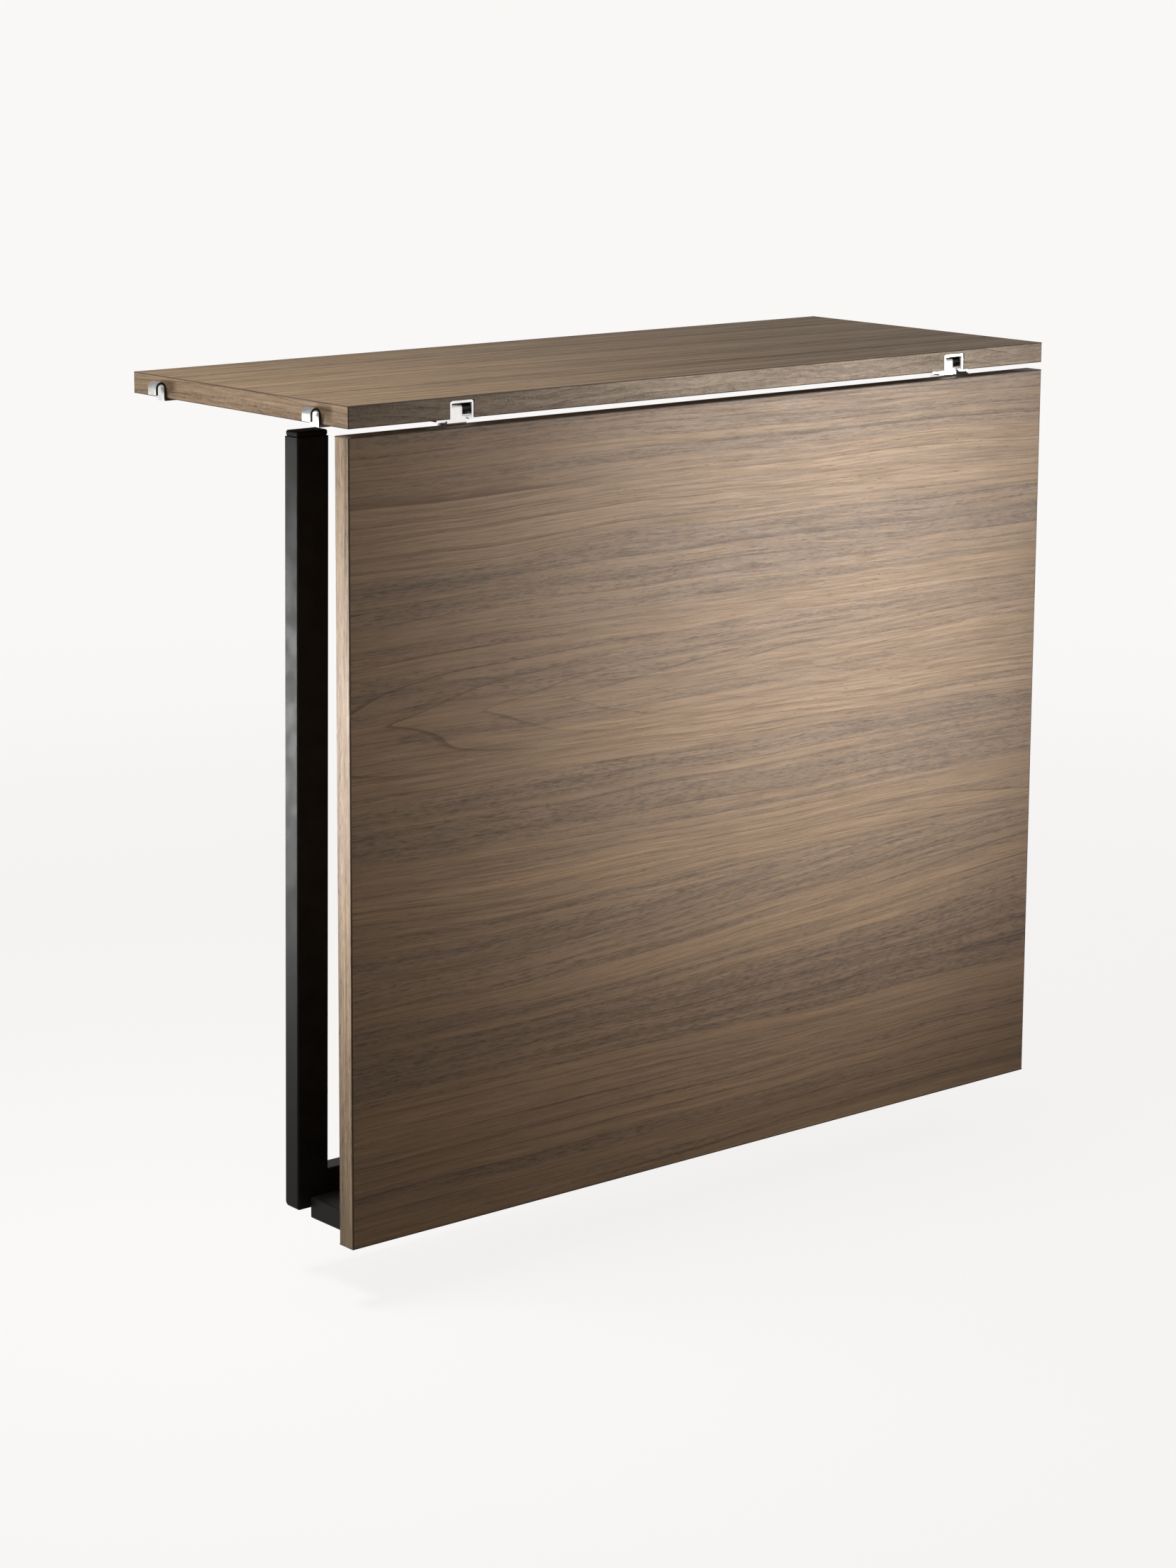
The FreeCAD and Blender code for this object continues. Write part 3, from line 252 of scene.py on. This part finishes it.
def walnut(
    name,
    along,
    across,
    figure,
    colours,
    seed,
    gloss,
    wave=0.5,
    rings=110.0,
    tips=None,
    core=None,
    arris=None,
    pull=1.0,
):
    """Satin lacquered walnut. along is the axis of the grain. across is the axis of the
    figure, where it starts and its direction. figure gives the dark and light bands as
    stops, and rings is how many growth rings there are in a metre. The rings close in
    points at the two heights in tips: the upper points to -along, the lower to +along.
    core is the axis through a panel, its middle and the half thickness under the veneer.
    Inside it the cut faces are painted near black, a painted shade for notches and holes.
    arris is the axis through an edge band and its middle. pull shortens the figure along
    the grain."""
    wood = Surface(name)
    axes = wood.place_axes()
    x = wood.times(axes[along], pull)
    axis, origin, direction = across
    t = wood.times(wood.minus(axes[axis], origin), direction)
    light, dark = colours

    def layer(noise_layer, height=t):
        cells_along, cells_across, offset, settings = noise_layer
        across_cells = wood.times(height, cells_across)
        where = wood.vector(wood.times(x, cells_along), across_cells, seed + offset)
        return wood.noise(where, **settings)

    def swing(value, amount):
        return wood.times(wood.minus(value, 0.5), amount)

    def off_middle(middle_of):
        return wood.unsigned(wood.minus(axes[middle_of[0]], middle_of[1]))

    slow = swing(layer(SLOW_WAVE), SLOW_BEND * wave)
    quick = swing(layer(QUICK_WAVE), QUICK_BEND * wave)
    flow = wood.plus(wood.plus(t, slow), quick)
    if tips:
        flow, fold, taper = tipped_rings(wood, x, t, flow, rings, tips)
    else:
        fold = flow
        taper = swing(layer(TAPER), TAPER_SWING * wave)

    bands = wood.ramp(wood.maths("DIVIDE", flow, FIGURE_SPAN), figure)
    narrow = swing(layer(NARROW_BANDS, flow), NARROW_SWING)
    tone = wood.between(wood.plus(bands, narrow), 0.0, 1.0)

    spacing = wood.times(layer(RING_SPACING, flow), SPACING_SWING)
    phase = wood.plus(wood.times(fold, rings), wood.plus(taper, spacing))
    ring = wood.maths("FRACT", phase)
    fade = wood.between(layer(RING_FADE), *FADE_RANGE)

    def in_ring(peak, end):
        """Rises to 1 at the peak of a ring, and falls again to its end."""
        shape = wood.times(wood.between(ring, end, peak), wood.between(ring, 0.0, peak))
        return wood.times(shape, fade)

    line = in_ring(LINE_PEAK, LINE_END)
    shade = in_ring(SHADE_PEAK, SHADE_END)

    fibre = layer(FIBRE, flow)
    streak = layer(STREAK, flow)
    fleck = layer(FLECK, flow)
    shaded_tone = wood.minus(tone, wood.times(shade, SHADE_OPENS))
    open_pored = wood.between(shaded_tone, *OPEN_PORED)
    share = wood.plus(wood.times(open_pored, 1.0 - RIPPLE_LEAST), RIPPLE_LEAST)
    ripple = wood.times(swing(fleck, RIPPLE_SWING), share)
    pore_start = wood.minus(PORE_START, wood.times(open_pored, PORE_WIDENS))
    pore = wood.between(fleck, pore_start, PORE_FULL)

    colour = wood.mix(tone, dark, light)
    colour = wood.tinted(colour, wood.between(layer(COOL_CLOUD), *COOL_RANGE), COOLER)
    colour = wood.tinted(colour, wood.times(shade, SHADE_STRENGTH), RING_SHADE)
    colour = wood.tinted(colour, line, RING_LINE)
    grain = wood.plus(wood.spread(fibre, *FIBRE_SHADES), ripple)
    grain = wood.times(grain, wood.spread(streak, *STREAK_SHADES))
    colour = wood.tinted(colour, 1.0, wood.vector(grain, grain, grain))
    colour = wood.tinted(colour, wood.times(pore, PORE_STRENGTH), PORE)
    # Painted shade: the panel's cut faces, in its notches and holes, are painted near black.
    if core:
        core_shade = wood.maths("LESS_THAN", off_middle(core), core[2])
        colour = wood.mix(core_shade, colour, NEAR_BLACK)
    if arris:
        edge = wood.larger(wood.between(off_middle(arris), *ARRIS_DEPTH), eased(wood))
        colour = wood.mix(wood.times(edge, ARRIS_STRENGTH), colour, NEAR_BLACK)
    wood.feed("Base Color", colour)

    sheen = wood.spread(fibre, *FIBRE_ROUGHNESS)
    roughness = wood.maths("ADD", sheen, wood.times(pore, PORE_ROUGHNESS), clamp=True)
    wood.feed("Roughness", roughness)
    wood.put("Specular IOR Level", gloss)
    wood.bump(wood.minus(wood.times(fibre, FIBRE_HEIGHT), pore), GRAIN_DEPTH)
    return wood.material


LEAF_FIGURE = (
    (0.00, 0.40),
    (0.055, 0.50),
    (0.065, 0.85),
    (0.125, 0.72),
    (0.165, 0.34),
    (0.20, 0.38),
    (0.245, 0.68),
    (0.30, 0.45),
    (0.36, 0.72),
    (0.405, 0.78),
    (0.435, 0.30),
    (0.485, 0.28),
    (0.52, 0.76),
    (0.575, 0.60),
    (0.62, 0.34),
    (0.675, 0.58),
    (0.715, 0.44),
    (0.735, 0.14),
    (0.775, 0.33),
    (0.80, 0.75),
    (0.86, 0.62),
    (0.872, 0.88),
    (0.89, 0.50),
    (0.95, 0.72),
)
SHELF_FIGURE = (
    (0.00, 0.45),
    (0.06, 0.60),
    (0.09, 0.30),
    (0.10, 0.70),
    (0.16, 0.55),
    (0.20, 0.72),
    (0.26, 0.50),
    (0.30, 0.62),
    (0.34, 0.35),
    (0.38, 0.60),
    (0.43, 0.45),
)
PLAIN_FIGURE = ((0.0, 0.6), (0.5, 0.45), (1.0, 0.6))

# The light and the dark end of each veneer's colour.
LEAF_COLOURS = ((0.326, 0.205, 0.115, 1.0), (0.218, 0.140, 0.087, 1.0))
SHELF_COLOURS = ((0.318, 0.215, 0.122, 1.0), (0.172, 0.116, 0.067, 1.0))
LEAF_SIDE_COLOURS = ((0.46, 0.345, 0.235, 1.0), (0.30, 0.215, 0.145, 1.0))
SHELF_END_COLOURS = ((0.37, 0.26, 0.165, 1.0), (0.24, 0.163, 0.10, 1.0))
EDGE_COLOURS = ((0.335, 0.252, 0.182, 1.0), (0.215, 0.16, 0.118, 1.0))

# Specular level of the lacquer.
LEAF_GLOSS = 0.17
SHELF_GLOSS = 0.015
BAND_GLOSS = 0.08

leaf_face = walnut(
    "walnut_leaf",
    along="X",
    across=("Z", LEAF_TOP_Z, -1.0),
    figure=LEAF_FIGURE,
    colours=LEAF_COLOURS,
    seed=4.0,
    gloss=LEAF_GLOSS,
    wave=1.0,
    rings=85.0,
    tips=(0.237, 0.425),
    core=("Y", LEAF_MIDDLE_Y, CORE_HALF),
)
shelf_face = walnut(
    "walnut_shelf",
    along="X",
    across=("Y", 0.0, -1.0),
    figure=SHELF_FIGURE,
    colours=SHELF_COLOURS,
    seed=52.0,
    gloss=SHELF_GLOSS,
    wave=0.6,
    rings=60.0,
    core=("Z", 0.0, CORE_HALF),
)


def band(name, along, across, colours, seed, arris, pull=1.0):
    axis = (across, 0.0, -1.0)
    gloss = BAND_GLOSS
    return walnut(name, along, axis, PLAIN_FIGURE, colours, seed, gloss, arris=arris, pull=pull)


on_shelf = ("Z", 0.0)
on_leaf = ("Y", LEAF_MIDDLE_Y)
shelf_edge = band("walnut_edge_x", "X", "Z", EDGE_COLOURS, 81.0, on_shelf, pull=5.0)
shelf_end = band("walnut_edge_y", "Y", "Z", SHELF_END_COLOURS, 63.0, on_shelf, pull=2.5)
leaf_side = band("walnut_edge_z", "Z", "Y", LEAF_SIDE_COLOURS, 37.0, on_leaf)
leaf_end = band("walnut_leaf_edge_x", "X", "Y", EDGE_COLOURS, 87.0, on_leaf)


# ----------------------------------------------------- lacquer, plastic, metal


def black_lacquer():
    """Matt black with a faint orange peel, drawn out along the legs."""
    made = Surface("black_lacquer")
    cloud = made.place_noise((60.0, 60.0, 60.0), detail=3.0)
    peel = made.place_noise((900.0, 900.0, 260.0), detail=2.0)
    black, worn = (0.0075, 0.0068, 0.006, 1.0), (0.011, 0.0102, 0.0092, 1.0)
    made.feed("Base Color", made.mix(made.spread(cloud), black, worn))
    made.feed("Roughness", made.spread(cloud, 0.44, 0.54))
    made.put("Specular IOR Level", 0.1)
    made.bump(peel, 0.00004)
    return made.material


def black_plastic():
    """Moulded black with a fine grain."""
    made = Surface("black_plastic")
    grain = made.place_noise((1800.0, 1800.0, 1800.0), detail=2.0)
    black, grey = (0.006, 0.006, 0.006, 1.0), (0.014, 0.014, 0.014, 1.0)
    made.feed("Base Color", made.mix(grain, black, grey))
    made.feed("Roughness", made.spread(grain, 0.42, 0.58))
    made.put("Specular IOR Level", 0.06)
    made.bump(grain, 0.00005)
    return made.material


def beech():
    """Plain wood with its grain along the dowels."""
    made = Surface("beech")
    grain = made.place_noise((60.0, 900.0, 900.0), detail=3.0)
    dark, light = (0.52, 0.34, 0.20, 1.0), (0.66, 0.47, 0.30, 1.0)
    made.feed("Base Color", made.mix(made.spread(grain), dark, light))
    made.feed("Roughness", made.spread(grain, 0.65, 0.55))
    made.bump(grain, 0.00005)
    return made.material


WEAR_CELLS = (140.0, 140.0, 140.0)
CLOUD_SHARE, GRAIN_SHARE = 0.6, 0.4  # in the roughness of a metal
STRIP_WEAR = 0.25  # share of the wear that is left on a bent strip
CROWN_SHADE = (-0.004, 0.0049, 0.0, 0.75)  # height from and to, painted shade from and to: darker towards the crown
SHEARED = (0.55, 0.9)  # part of the normal along Y where a cut edge starts and is full
# near black painted on the sheared edges: a painted reflection of dark surroundings, not the
# steel's own colour
SHEARED_DARK_REFLECTION = (0.04, 0.04, 0.042, 1.0)
SHEARED_ROUGHNESS = 0.2


def metal(name, tint, worn, polish, cells, depth, bent_strip=False):
    """A metal whose colour varies between tint and worn and whose roughness varies between
    the two values of polish, with a fine grain of so many cells per metre. A bent strip is
    painted darker towards its crown, a painted shade, and painted near black on its sheared
    edges, which face Y, a painted reflection of dark surroundings."""
    made = Surface(name)
    cloud = made.place_noise(WEAR_CELLS, detail=3.0)
    grain = made.place_noise(cells, detail=3.0, roughness=0.6)
    wear_and_shade = made.spread(cloud)
    if bent_strip:
        # Painted shade: the bent strip is painted darker towards its crown, over its wear.
        crown = made.between(made.place_axes()["Z"], *CROWN_SHADE)
        wear_and_shade = made.plus(made.times(wear_and_shade, STRIP_WEAR), crown)
    colour = made.mix(wear_and_shade, tint, worn)
    both = made.plus(made.times(cloud, CLOUD_SHARE), made.times(grain, GRAIN_SHARE))
    roughness = made.spread(both, *polish)
    if bent_strip:
        cut = made.between(made.unsigned(made.normal_axes()["Y"]), *SHEARED)
        # Painted reflection: the sheared edges, which face Y, are painted near black.
        colour = made.mix(cut, colour, SHEARED_DARK_REFLECTION)
        roughness = made.plus(roughness, made.times(cut, SHEARED_ROUGHNESS))
    made.feed("Base Color", colour)
    made.feed("Roughness", roughness)
    made.put("Metallic", 1.0)
    made.bump(grain, depth)
    return made.material


FINISHES = {
    "black_lacquer": black_lacquer(),
    "hook_steel": metal(
        "hook_steel",
        tint=(0.78, 0.78, 0.77, 1.0),
        # the worn colour, which the painted shade at the crown also goes towards
        worn=(0.17, 0.17, 0.17, 1.0),
        polish=(0.26, 0.36),
        cells=(2500.0, 160.0, 160.0),
        depth=0.000015,
        bent_strip=True,
    ),
    "bright_nickel": metal(
        "bright_nickel",
        tint=(0.86, 0.85, 0.84, 1.0),
        worn=(0.80, 0.79, 0.78, 1.0),
        polish=(0.05, 0.12),
        cells=(400.0, 400.0, 400.0),
        depth=0.000002,
    ),
    "black_steel": metal(
        "black_steel",
        tint=(0.035, 0.035, 0.038, 1.0),
        worn=(0.06, 0.06, 0.062, 1.0),
        polish=(0.35, 0.5),
        cells=(900.0, 900.0, 900.0),
        depth=0.00001,
    ),
    "zinc": metal(
        "zinc",
        tint=(0.66, 0.67, 0.69, 1.0),
        worn=(0.56, 0.57, 0.58, 1.0),
        polish=(0.24, 0.36),
        cells=(900.0, 900.0, 900.0),
        depth=0.00001,
    ),
    "black_plastic": black_plastic(),
    "beech": beech(),
}
BOARDS = {
    "shelf_panel": shelf_face,
    "shelf_front_band": shelf_edge,
    "shelf_back_band": shelf_edge,
    "shelf_left_band": shelf_end,
    "shelf_right_band": shelf_end,
    "leaf_panel": leaf_face,
    "leaf_top_band": leaf_end,
    "leaf_bottom_band": leaf_end,
    "leaf_left_band": leaf_side,
    "leaf_right_band": leaf_side,
}
for name, piece in nodes.items():
    slot = piece.data.materials[0].name.split(".")[0]
    piece.data.materials[0] = BOARDS[name] if name in BOARDS else FINISHES[slot]


# ------------------------------------------------------------ floor and studio

PALE = (0.956, 0.939, 0.922, 1.0)  # the backdrop
NEAR_GLOW = (1.0, 0.988, 0.975, 1.0)  # makes up for the lit share of the floor
FLOOR_GREY = (0.16, 0.157, 0.154, 1.0)  # what the floor is for the light on the object
FLOOR_BLEND = (1.0, 3.2)  # distances over which the floor turns into the backdrop
NEAR_SHARE = 0.86
FLOOR_CENTRE = (0.0, -0.3, -0.7273)  # at the height of the feet when the table is in use
FLOOR_RADIUS = 12.0
FLOOR_CORNERS = 96
SKY = (1.0, 0.965, 0.93, 1.0)
SKY_FROM = (-0.20, 0.83, 0.52)
SKY_STRENGTH = (0.02, 0.45)  # away from SKY_FROM and towards it


def link(made):
    bpy.context.scene.collection.objects.link(made)


def pale_floor():
    """Seen, the floor is partly lit, so that the shadow stays, and mostly the backdrop's own
    colour. Towards its rim it turns into the backdrop."""
    made = Surface("pale_floor")
    made.put("Base Color", FLOOR_GREY)
    made.put("Roughness", 0.9)
    made.put("Specular IOR Level", 0.0)
    far = made.add("ShaderNodeVectorMath", {0: made.place()}, operation="LENGTH").outputs["Value"]
    colour = made.mix(made.between(far, *FLOOR_BLEND), NEAR_GLOW, PALE)
    lit = made.add("ShaderNodeBsdfDiffuse", {"Color": PALE})
    glow = made.add("ShaderNodeEmission", {"Color": colour, "Strength": 1.0})
    shown = made.either(made.between(far, *FLOOR_BLEND, NEAR_SHARE, 1.0), lit, glow)
    chosen = made.either(made.seen(), made.shader, shown)
    made.join(chosen.outputs[0], made.tree.nodes["Material Output"].inputs["Surface"])
    return made.material


def floor():
    """A wide disc under the part."""
    angles = [i * math.tau / FLOOR_CORNERS for i in range(FLOOR_CORNERS)]
    rim = [(FLOOR_RADIUS * math.cos(a), FLOOR_RADIUS * math.sin(a), 0.0) for a in angles]
    mesh = bpy.data.meshes.new("floor")
    mesh.from_pydata(rim, [], [list(range(FLOOR_CORNERS))])
    disc = bpy.data.objects.new("floor", mesh)
    link(disc)
    disc.location = FLOOR_CENTRE
    mesh.materials.append(pale_floor())


def studio_world():
    """A pale backdrop all round. The light it gives is stronger from behind and above."""
    world = bpy.data.worlds.new("studio")
    bpy.context.scene.world = world
    world.use_nodes = True
    sky = Nodes(world.node_tree)
    sky.tree.nodes.clear()
    direction = sky.add("ShaderNodeTexCoord").outputs["Generated"]
    inputs = {0: direction, 1: SKY_FROM}
    lean = sky.add("ShaderNodeVectorMath", inputs, operation="DOT_PRODUCT").outputs["Value"]
    strength = sky.between(lean, -1.0, 1.0, *SKY_STRENGTH)
    light = sky.add("ShaderNodeBackground", {"Color": SKY, "Strength": strength})
    backdrop = sky.add("ShaderNodeBackground", {"Color": PALE, "Strength": 1.0})
    chosen = sky.either(sky.seen(), light, backdrop)
    output = sky.add("ShaderNodeOutputWorld")
    sky.join(chosen.outputs[0], output.inputs["Surface"])


def lamp(name, place, target, size, power, spread, tint, mirrored=True):
    """An area lamp. Where it isn't mirrored, metal and lacquer show no reflection of it."""
    data = bpy.data.lights.new(name, "AREA")
    data.shape = "RECTANGLE"
    data.size, data.size_y = size
    data.energy = power
    data.color = tint
    data.spread = math.radians(spread)
    made = bpy.data.objects.new(name, data)
    link(made)
    aim = (Vector(target) - Vector(place)).to_track_quat("-Z", "Y")
    made.matrix_world = Matrix.Translation(place) @ aim.to_matrix().to_4x4()
    made.visible_camera = False
    made.visible_glossy = mirrored


def camera():
    """The photograph's camera: where it stands, how it is turned, and its lens."""
    place = (-2.093, -2.608, 0.363)
    yaw, pitch, roll = (math.radians(angle) for angle in (40.15, -10.42, 0.34))
    focal_length, photo_height = 5255.0, 2212.0  # pixels of the photograph
    ahead = Vector(
        (math.sin(yaw) * math.cos(pitch), math.cos(yaw) * math.cos(pitch), math.sin(pitch))
    )
    right = Vector((math.cos(yaw), -math.sin(yaw), 0.0))
    up = right.cross(ahead)
    across = right * math.cos(roll) + up * math.sin(roll)
    upward = up * math.cos(roll) - right * math.sin(roll)
    data = bpy.data.cameras.new("camera")
    data.sensor_width = 36.0
    data.lens = focal_length * data.sensor_width / photo_height
    data.shift_y = -0.10
    data.clip_end = 100.0
    made = bpy.data.objects.new("camera", data)
    link(made)
    turn = Matrix((across, upward, -ahead)).transposed().to_4x4()
    made.matrix_world = Matrix.Translation(place) @ turn
    bpy.context.scene.camera = made


floor()
studio_world()
lamp(
    "key",  # from the front and right, for the bright middle of the leaf
    place=(1.42, -1.68, -0.25),
    target=(0.125, -0.30, -0.165),
    size=(0.35, 0.7),
    power=1.52,
    spread=22,
    tint=(1.0, 1.0, 0.97),
)
lamp(
    "side",  # from the left and behind, for the left ends of the boards
    place=(-1.15, 0.80, -0.20),
    target=(-0.39, -0.25, -0.16),
    size=(0.4, 0.5),
    power=1.0,
    spread=52,
    tint=(1.0, 1.0, 1.0),
    mirrored=False,
)
lamp(
    "glint",  # the sheen on the side of the black leg
    place=(-1.15, 0.80, -0.48),
    target=(-0.39, -0.25, -0.29),
    size=(0.15, 0.25),
    power=0.62,
    spread=28,
    tint=(1.0, 1.0, 1.0),
)
lamp(
    "top",  # from above the left end, for the shelf's top
    place=(-0.85, -0.10, 1.15),
    target=(-0.55, -0.15, 0.0),
    size=(0.5, 0.5),
    power=2.0,
    spread=62,
    tint=(1.0, 0.99, 0.97),
)
camera()
bpy.context.scene.view_settings.view_transform = "Standard"
